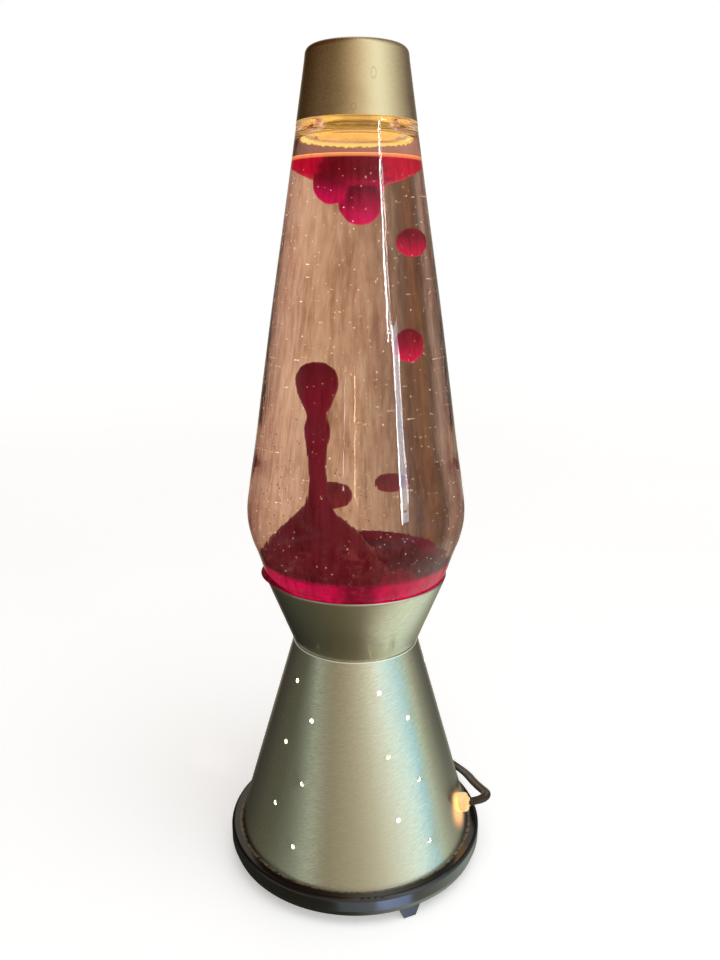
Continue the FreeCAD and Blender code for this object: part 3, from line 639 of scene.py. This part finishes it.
bulb_glass, tree, surface = clear_glass("bulb_glass", (0.96, 0.96, 0.94), 1.45, 1.0)
relief(tree, surface, noise(tree, place_on(tree, (1, 1, 0.35)), 55, 2), 0.05, 0.001)
finish_node(bulb_glass, "bulb_envelope", "bulb_stem")
hot_wire, tree, surface = new_finish("filament", (0.9, 0.8, 0.6), 0.4)
put(tree, surface.inputs["Emission Color"],
    ramp(tree, noise(tree, place_on(tree), 800, 1), (0.4, (1.0, 0.66, 0.32)), (0.6, (1.0, 0.80, 0.5))))
put(tree, surface.inputs["Emission Strength"], 25)
finish_node(hot_wire, "bulb_filament")
wire, tree, surface = new_finish("wire_steel", (0.45, 0.45, 0.45), 0.35, 1.0)
put(tree, surface.inputs["Roughness"], fit(tree, noise(tree, place_on(tree), 1500, 2), 0.3, 0.7, 0.25, 0.45))
finish_node(wire, "bulb_support_wires")


# The wire coil that lies round the foot of the bottle: steel wire wound into a long spring
# whose ends are joined.
SPRING_TURNS = 60
SPRING_STEPS = 10
spring_curve = bpy.data.curves.new("spring", "CURVE")
spring_curve.dimensions = "3D"
spring_curve.bevel_depth = 0.00045
spring_curve.bevel_resolution = 2
spring_curve.resolution_u = 2
spring_spline = spring_curve.splines.new("NURBS")
spring_spline.points.add(SPRING_TURNS * SPRING_STEPS - 1)
for index, knot in enumerate(spring_spline.points):
    around = math.tau * index / (SPRING_TURNS * SPRING_STEPS)
    winding = math.tau * index / SPRING_STEPS
    across = 0.026 + 0.0021 * math.cos(winding)
    knot.co = (across * math.cos(around), across * math.sin(around), 0.13935 + 0.0021 * math.sin(winding), 1)
spring_spline.order_u = 3
spring_spline.use_cyclic_u = True
spring_holder = bpy.data.objects.new("spring_holder", spring_curve)
spring_mesh = bpy.data.meshes.new_from_object(spring_holder)
bpy.data.objects.remove(spring_holder)
for polygon in spring_mesh.polygons:
    polygon.use_smooth = True
spring = bpy.data.objects.new("wire_coil", spring_mesh)
bpy.context.collection.objects.link(spring)
spring_mesh.materials.clear()
spring_mesh.materials.append(wire)
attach(spring, "globe")
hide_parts("heating_coil")


# The globe: a thick clear bottle blown in one piece, with a ledge under its neck where the cap stands.
GLASS = 2.4
wall = [(36.9, 143.0), (40.4, 152.0), (43.7, 160.0), (48.3, 170.7), (49.6, 173.6), (52.9, 183.6),
        (56.6, 194.4), (58.1, 205.2), (56.5, 220.3), (53.0, 241.9), (48.6, 272.2), (42.8, 311.0),
        (35.9, 354.2), (29.4, 395.5)]
outside = corners((0, 133.7), (31.0, 133.7)) + outline_points([(31.9, 133.75), (33.6, 135.0), *wall])
outside += outline_points([(29.2, 396.6), (29.3, 397.4), (29.1, 398.2), (28.2, 398.6), (27.6, 398.7)], 3)
outside += outline_points([(26.9, 401.4), (25.6, 403.8), (23.0, 405.4), (16.0, 408.0), (13.9, 409.6),
                           (13.5, 411.5)], 4)
outside += corners((13.5, 417.4), (13.1, 418), (11.5, 418), (11.1, 417.6))
inside = [(11.1, 409.8), (12.0, 402.5), (15.0, 397.5), (20.0, 394.6), (25.0, 393.2), (27.2, 391.6),
          (28.0, 389.0)]
inside += [(radius - GLASS, height) for radius, height in reversed(wall[:-1])]
inner_wall = outline_points(inside + [(31.5, 138.2), (30.0, 136.75)])
glass_outline = outside + inner_wall + corners((0, 136.7))
bottle = new_piece("globe_bottle", turned(glass_outline, closed=False), 60)
bottle_glass, tree, surface = clear_glass("globe_glass", (0.985, 0.97, 0.965), 1.5, 0.4)
at = place_on(tree, (1, 1, 0.22))
ripple = noise(tree, at, 70, 2, 0.6)
pitted = count(tree, "MULTIPLY_ADD", noise(tree, place_on(tree), 650, 2), 0.08, ripple)
relief(tree, surface, pitted, 0.10, 0.0012)
# Painted glow for the lit inside of the cap seen through the glass: the downward faces under the shoulder glow
# orange to yellow above a ragged edge, and the glass just above them has faint streaks of it.
split = axes_of(tree, place_on(tree))
geometry = tree.nodes.new("ShaderNodeNewGeometry")
facing = axes_of(tree, geometry.outputs["True Normal"])
ragged = noise(tree, place_on(tree), 420, 3)
edge_height = count(tree, "MULTIPLY_ADD", ragged, -0.0030, split[2])
painted_glow_ceiling = count(tree, "MULTIPLY", fit(tree, facing[2], -0.15, -0.35),
                fit(tree, edge_height, 0.3894, 0.3901))
painted_rim_glow = count(tree, "MULTIPLY", painted_glow_ceiling, fit(tree, split[2], 0.3938, 0.3922, 0.12, 0.72))
painted_collar_glow = count(tree, "MULTIPLY", fit(tree, split[2], 0.3930, 0.3948),
               fit(tree, noise(tree, place_on(tree, (1, 1, 26)), 45, 2), 0.44, 0.62, 0.0, 0.14))
painted_shoulder_glow_colour = ramp(tree, fit(tree, split[2], 0.3939, 0.3926), (0.0, (0.95, 0.46, 0.10)),
                     (1.0, (1.0, 0.76, 0.12)))
put(tree, surface.inputs["Emission Color"],
    blend_colours(tree, painted_glow_ceiling, (1.0, 0.52, 0.09), painted_shoulder_glow_colour))
put(tree, surface.inputs["Emission Strength"], count(tree, "MAXIMUM", painted_rim_glow, painted_collar_glow))
bottle.data.materials.append(bottle_glass)
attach(bottle, "globe")
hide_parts("globe_glass")


# The liquid: clear and faintly rose brown, with streaks where warm liquid rises. It fills the bottle
# to just under its shoulder, with a raised edge where it wets the glass.
OVERLAP = 0.6
liquid_side = [(radius - GLASS + OVERLAP, height) for radius, height in wall]
liquid_top = [(29.2, 382.6), (28.4, 382.15), (26.8, 382.0)]
side_points = [point for point in outline_points([(31.5, 137.6)] + liquid_side) if point.z < 0.3822]
liquid_outline = corners((0, 136.2), (30.0, 136.2)) + side_points + corners(*liquid_top, (0, 382.0))
liquid = new_piece("liquid_fill", turned(liquid_outline, closed=False), 50)
liquid_look, tree, surface = clear_glass("liquid", (0.86, 0.75, 0.67), 1.33, 0.0)
streak = noise(tree, place_on(tree, (1, 1, 0.045)), 420, 3, 0.3)
broad = noise(tree, place_on(tree, (1, 1, 0.10)), 75, 3, 0.6)
mixed = count(tree, "ADD", count(tree, "MULTIPLY", streak, 0.5), count(tree, "MULTIPLY", broad, 0.5))
put(tree, surface.inputs["Base Color"],
    ramp(tree, mixed, (0.36, (0.50, 0.34, 0.25)), (0.49, (0.84, 0.68, 0.56)), (0.61, (1.0, 0.92, 0.82))))
split = axes_of(tree, place_on(tree))
# A painted orange glow along the raised edge where the liquid meets the glass.
painted_meniscus_glow = count(tree, "MULTIPLY", fit(tree, split[2], 0.3806, 0.3816),
               fit(tree, count(tree, "MULTIPLY_ADD", split[0], split[0],
                               count(tree, "MULTIPLY", split[1], split[1])), 0.00076, 0.00080))
put(tree, surface.inputs["Emission Color"], (1.0, 0.34, 0.12))
put(tree, surface.inputs["Emission Strength"], count(tree, "MULTIPLY", painted_meniscus_glow, 0.75))
swirls = noise(tree, place_on(tree, (1, 1, 0.12)), 110, 3, 0.5)
relief(tree, surface, swirls, 0.22, 0.0012)
liquid.data.materials.append(liquid_look)
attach(liquid, "globe")
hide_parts("lamp_liquid")


# The wax: crimson, soft and slightly see-through. The bulb's light from below is painted into it as a glow, so
# undersides glow and tops are dark. A pool with a rising column, a mass hanging at the surface, and free drops.
def wax_look(name, skin, top, bottom, murk_and_sheen=0.0):
    """Wax with painted light: dark on its top, bright on its underside, and with painted highlight streaks
    where it is murky.
    """
    material, tree, surface = new_finish(name, skin, 0.35)
    put(tree, surface.inputs["Specular IOR Level"], 0.04)
    geometry = tree.nodes.new("ShaderNodeNewGeometry")
    split = axes_of(tree, geometry.outputs["Normal"])
    clouds = noise(tree, place_on(tree), 140, 3)
    facing = count(tree, "ADD", split[2], count(tree, "MULTIPLY_ADD", clouds, 0.6, -0.3))
    middle = tuple(0.6 * a + 0.4 * b for a, b in zip(top, bottom))
    glow = ramp(tree, fit(tree, facing, 0.8, -0.9), (0.0, top), (0.5, middle), (1.0, bottom))
    skin_colour = ramp(tree, clouds, (0.3, tuple(0.7 * part for part in skin)), (0.7, skin))
    # The hanging mass: painted shade darkens a cloudy middle band of its upper part, and its painted light
    # turns purple higher up.
    if name == "wax_hanging":
        split = axes_of(tree, place_on(tree))
        off_side = count(tree, "ABSOLUTE", count(tree, "ADD", split[0], 0.002))
        wander = count(tree, "MULTIPLY_ADD", clouds, 0.012, off_side)
        painted_shade_core = count(tree, "MULTIPLY", fit(tree, wander, 0.0225, 0.0165),
                     fit(tree, split[2], 0.364, 0.374))
        glow = blend_colours(tree, count(tree, "MULTIPLY", painted_shade_core, 0.85), glow, (0.085, 0.001, 0.016))
        glow = blend_colours(tree, fit(tree, split[2], 0.366, 0.375), glow,
                             blend_colours(tree, 1.0, glow, (0.86, 0.15, 0.34), "MULTIPLY"))
    # The pool: painted shade darkens a cloudy middle band at its front.
    if name == "wax_pool":
        split = axes_of(tree, place_on(tree))
        off_middle = count(tree, "ABSOLUTE", count(tree, "SUBTRACT", split[0], 0.0015))
        shade = fit(tree, count(tree, "MULTIPLY_ADD", clouds, 0.012, off_middle), 0.0185, 0.0105)
        shade = count(tree, "MULTIPLY", shade, fit(tree, split[1], 0.0, -0.02, 0.0, 0.8))
        glow = blend_colours(tree, shade, glow, (0.11, 0.001, 0.014))
    # Low down, curling streaks of pale brown: the wax's murky look, with its highlights painted in.
    if murk_and_sheen:
        curls = noise(tree, place_on(tree, (1, 1, 1.6)), 150, 5, 1.3)
        split = axes_of(tree, place_on(tree))
        low = fit(tree, split[2], 0.202, 0.188)
        painted_sheen_veins = count(tree, "MULTIPLY", count(tree, "MULTIPLY", fit(tree, curls, 0.52, 0.68), low), murk_and_sheen)
        glow = blend_colours(tree, painted_sheen_veins, glow, (0.24, 0.055, 0.045))
    put(tree, surface.inputs["Emission Color"], glow)
    put(tree, surface.inputs["Emission Strength"], 1.0)
    put(tree, surface.inputs["Base Color"], skin_colour)
    relief(tree, surface, noise(tree, place_on(tree), 90, 2), 0.15, 0.001)
    return material


# Each wax has its own painted light: the column and the rear drops glow far less than the front drops, the
# hanging mass and the pool.
drop_wax = wax_look("wax_drops", (0.12, 0.001, 0.008), (0.13, 0.0003, 0.012), (0.62, 0.003, 0.062))
hanging_wax = wax_look("wax_hanging", (0.10, 0.001, 0.010), (0.08, 0.0005, 0.012), (0.64, 0.005, 0.095))
column_wax = wax_look("wax_column", (0.10, 0.001, 0.008), (0.075, 0.0005, 0.008), (0.17, 0.0005, 0.016), 0.4)
rear_wax = wax_look("wax_rear_drops", (0.10, 0.005, 0.010), (0.09, 0.008, 0.012), (0.17, 0.012, 0.020))
pool_wax = wax_look("wax_pool", (0.10, 0.001, 0.008), (0.050, 0.001, 0.008), (0.80, 0.004, 0.105), 0.35)


def round_drop(name, centre, radius, half_height, material):
    bm = bmesh.new()
    bmesh.ops.create_uvsphere(bm, u_segments=64, v_segments=40, radius=0.001)
    bmesh.ops.scale(bm, vec=(radius, radius, half_height), verts=bm.verts)
    bmesh.ops.translate(bm, vec=Vector(centre) / 1000, verts=bm.verts)
    drop = new_piece(name, bm, 60)
    drop.data.materials.append(material)
    return drop


drops = [("wax_drop_upper", (22.5, -8, 342.6), 7.0, 6.8, drop_wax),
         ("wax_drop_middle", (22, -14, 294), 6.6, 8.3, drop_wax),
         ("wax_drop_rear_right", (13.5, 13, 218), 6.8, 5.0, rear_wax),
         ("wax_drop_rear_left", (-9.2, 18, 210), 8.0, 7.0, rear_wax)]
for node, centre, radius, half_height, material in drops:
    drop = round_drop(node + "_ball", centre, radius, half_height, material)
    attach(drop, node)
    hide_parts(node)

stem = outline_points([(36, 171), (30, 179), (25, 185.5), (18.2, 193.5), (10.4, 202), (6.0, 209), (4.2, 215),
                       (3.6, 224), (3.8, 237), (5.1, 249.5), (4.3, 257.5), (6.4, 264.5), (8.5, 274.5),
                       (6.3, 281.3), (2.7, 283.8), (0, 284)])
column_skin = turned(corners((0, 171)) + stem, closed=False, segments=128, axis_at=(-15.5, -2))
column = new_piece("wax_column", column_skin, 60)
column.data.materials.append(column_wax)
pool_side = [(radius - GLASS, height) for radius, height in wall[:6]]
pool_line = [point for point in outline_points([(31.5, 138.2)] + pool_side) if point.z < 0.1815]
pool_outline = corners((0, 136.8), (30.0, 136.8)) + pool_line
pool_outline += outline_points([(pool_line[-1].x * 1000 - 0.3, 182.0), (47.5, 179.2), (43, 177.8),
                                (30, 177.2), (0, 177.4)], 6)
pool = new_piece("wax_pool", turned(pool_outline, closed=False), 60)
pool.data.materials.append(pool_wax)
lump = round_drop("wax_lump", (20, -35, 180), 8.7, 8.0, drop_wax)
crumb = round_drop("wax_crumb", (-14.5, -43, 178.5), 2.0, 2.0, drop_wax)


def merged(name, parts, cell, rounds, material):
    """Overlapping bodies melted into one smooth skin."""
    bm = bmesh.new()
    for part in parts:
        bm.from_mesh(part.data)
        bpy.data.objects.remove(part)
    whole = new_piece(name + "_parts", bm)
    skin = whole.modifiers.new("skin", "REMESH")
    skin.mode = "VOXEL"
    skin.voxel_size = cell
    easing = whole.modifiers.new("easing", "SMOOTH")
    easing.factor = 0.5
    easing.iterations = rounds
    mesh = bpy.data.meshes.new_from_object(whole.evaluated_get(bpy.context.evaluated_depsgraph_get()))
    bpy.data.objects.remove(whole)
    for polygon in mesh.polygons:
        polygon.use_smooth = True
    mesh.name = name
    piece = bpy.data.objects.new(name, mesh)
    bpy.context.collection.objects.link(piece)
    mesh.materials.clear()
    mesh.materials.append(material)
    return piece


sheet_line = [(0, 368), (12, 369.3), (19, 372.6), (24.5, 377.2), (27.6, 380.9), (28.4, 381.9)]
sheet = new_piece("sheet", turned(outline_points(sheet_line) + corners((0, 381.9)), closed=False), 60)
lobes = [round_drop("low", (1.5, -7, 360.4), 8.6, 10.2, hanging_wax),
         round_drop("left", (-10.3, -10.5, 370.0), 7.4, 10.2, hanging_wax),
         round_drop("body", (0.5, -2, 370), 10.5, 8.5, hanging_wax)]
hanging = merged("wax_hanging", [sheet, *lobes], 0.0006, 10, hanging_wax)
for piece in (column, pool, lump, crumb, hanging):
    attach(piece, "globe")
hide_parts("wax_pool_and_column")
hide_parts("wax_hanging_mass")


# Specks in the liquid: tiny gas bubbles that catch the light as painted glints, and dark crumbs of wax near the
# column.
# They stay a gap in from the glass and thin out inwards, in millimetres.
WALL_GAP = 5.0
SPREAD = 9


def specks(name, seed, amount, sizes, colour, glow, zone):
    """Tiny grains scattered through the liquid close to the glass."""
    draw = random.Random(seed)
    bm = bmesh.new()
    low, high, left, right = zone
    for _ in range(amount):
        height = draw.uniform(low, high)
        around = math.radians(draw.uniform(left, right))
        wall_here = next(r for (r, z), (_, upper) in zip(wall, wall[1:] + [(0, 999)]) if upper > height)
        out = (wall_here - WALL_GAP - SPREAD * draw.random() ** 2) / 1000
        size = draw.uniform(*sizes) / 1000
        grain = bmesh.ops.create_icosphere(bm, subdivisions=1, radius=size)
        place = (out * math.sin(around), -out * math.cos(around), height / 1000)
        bmesh.ops.translate(bm, vec=place, verts=grain["verts"])
    piece = new_piece(name, bm, 180)
    material, tree, surface = new_finish(name, colour, 0.3)
    # Each grain glows in its own colour: painted glints on the bubbles, a faint painted glow on the crumbs.
    painted_glint_variation = noise(tree, place_on(tree), 300, 1)
    put(tree, surface.inputs["Emission Color"], colour)
    put(tree, surface.inputs["Emission Strength"], fit(tree, painted_glint_variation, 0.3, 0.7, 0.4 * glow, glow))
    piece.data.materials.append(material)
    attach(piece, "globe")


specks("liquid_bubbles", 11, 900, (0.08, 0.22), (1.0, 0.82, 0.62), 2.8, (180, 376, 0, 360))
specks("wax_crumbs", 5, 130, (0.15, 0.40), (0.10, 0.008, 0.010), 0.1, (196, 262, -75, 10))
specks("wax_crumbs_high", 9, 40, (0.12, 0.30), (0.16, 0.02, 0.015), 0.1, (262, 350, 0, 360))


# The closure: a pressed, lacquered metal crown over a soft liner, hidden under the cap.
crown_tin, tree, surface = new_finish("closure_tin", (0.72, 0.58, 0.30), 0.3, 1.0)
put(tree, surface.inputs["Roughness"], fit(tree, noise(tree, place_on(tree), 600, 3), 0.3, 0.7, 0.24, 0.4))
finish_node(crown_tin, "crown_closure")
soft_liner, tree, surface = new_finish("liner", (0.85, 0.84, 0.80), 0.7)
put(tree, surface.inputs["Roughness"], fit(tree, noise(tree, place_on(tree), 800, 2), 0.3, 0.7, 0.6, 0.8))
finish_node(soft_liner, "crown_liner")


# The cap: spun aluminium with a satin gold lacquer, a rounded top edge and a plain rim. Its inside carries a
# painted amber glow for the light coming up through the liquid, and shows as a yellow ring above the bottle's
# shoulder.
cap_outline = corners((0, 431.2), (18, 431.2))
cap_outline += outline_points([(20.4, 431.1), (22.3, 430.6), (23.5, 429.3), (24.0, 427.3)], 4)
cap_outline += corners((28.3, 398.7), (29.1, 398.7), (24.95, 425.8))
cap_outline += outline_points([(24.8, 427.3), (24.3, 429.7), (22.9, 431.3), (20.6, 431.95), (18, 432)], 6)
cap_outline += corners((0, 432))
cap = new_piece("gold_cap", turned(cap_outline, closed=False), 40)
gold, tree, surface = new_finish("cap_metal", (0.86, 0.70, 0.42), 0.3, 1.0)
speck = noise(tree, place_on(tree), 2300, 2)
turning = noise(tree, place_on(tree, (20, 20, 1500)), 1, 3)
stain = noise(tree, place_on(tree), 45, 4)
tint = ramp(tree, speck, (0.3, (0.78, 0.62, 0.37)), (0.62, (0.90, 0.75, 0.47)))
tint = blend_colours(tree, fit(tree, stain, 0.5, 0.75, 0, 0.4), tint, (0.60, 0.44, 0.24))
STAIN_WIDTH = 0.0012
STAIN_DEPTH = 0.006
for middle, tall in (((0.0074, -0.0256, 0.4165), 0.0023), ((-0.0015, -0.0275, 0.4020), 0.0014)):
    mark = vector_count(tree, "SUBTRACT", place_on(tree), middle)
    oval = vector_count(tree, "MULTIPLY", mark, (1 / STAIN_WIDTH, 1 / STAIN_DEPTH, 1 / tall))
    off_rim = count(tree, "ABSOLUTE", count(tree, "SUBTRACT", vector_count(tree, "LENGTH", oval), 1.0))
    tint = blend_colours(tree, fit(tree, off_rim, 0.28, 0.05, 0, 0.4), tint, (0.42, 0.33, 0.20))
put(tree, surface.inputs["Base Color"], tint)
put(tree, surface.inputs["Roughness"], fit(tree, speck, 0.3, 0.7, 0.25, 0.38))
relief(tree, surface, count(tree, "ADD", speck, count(tree, "MULTIPLY", turning, 0.6)), 0.16, 0.0002)
# Painted glow: the cap's inner faces and undersides glow amber to yellow.
painted_glow_inner_face = fit(tree, radial_share(tree), -0.2, -0.5)
geometry = tree.nodes.new("ShaderNodeNewGeometry")
split = axes_of(tree, geometry.outputs["True Normal"])
painted_glow_ceiling = fit(tree, split[2], -0.5, -0.9)
put(tree, surface.inputs["Emission Color"],
    ramp(tree, noise(tree, place_on(tree), 200, 3), (0.3, (0.95, 0.50, 0.08)), (0.7, (1.0, 0.78, 0.22))))
put(tree, surface.inputs["Emission Strength"],
    count(tree, "MULTIPLY", count(tree, "MAXIMUM", painted_glow_inner_face, painted_glow_ceiling), 0.36))
cap.data.materials.append(gold)
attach(cap, "cap")
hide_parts("top_cap")


# The windows light only the bottle, as bright streaks down its glass. The two sheens stand under the
# floor and light only the foot ring, so their shadows are off.
for name, lights, taker in (("streak_takers", windows, bottle),
                            ("ring_only", sheens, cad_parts["base_ring"])):
    takers = bpy.data.collections.new(name)
    takers.objects.link(taker)
    for light in lights:
        light.light_linking.receiver_collection = takers
for sheen in sheens:
    sheen.data.shape = "ELLIPSE"
    sheen.data.use_shadow = False
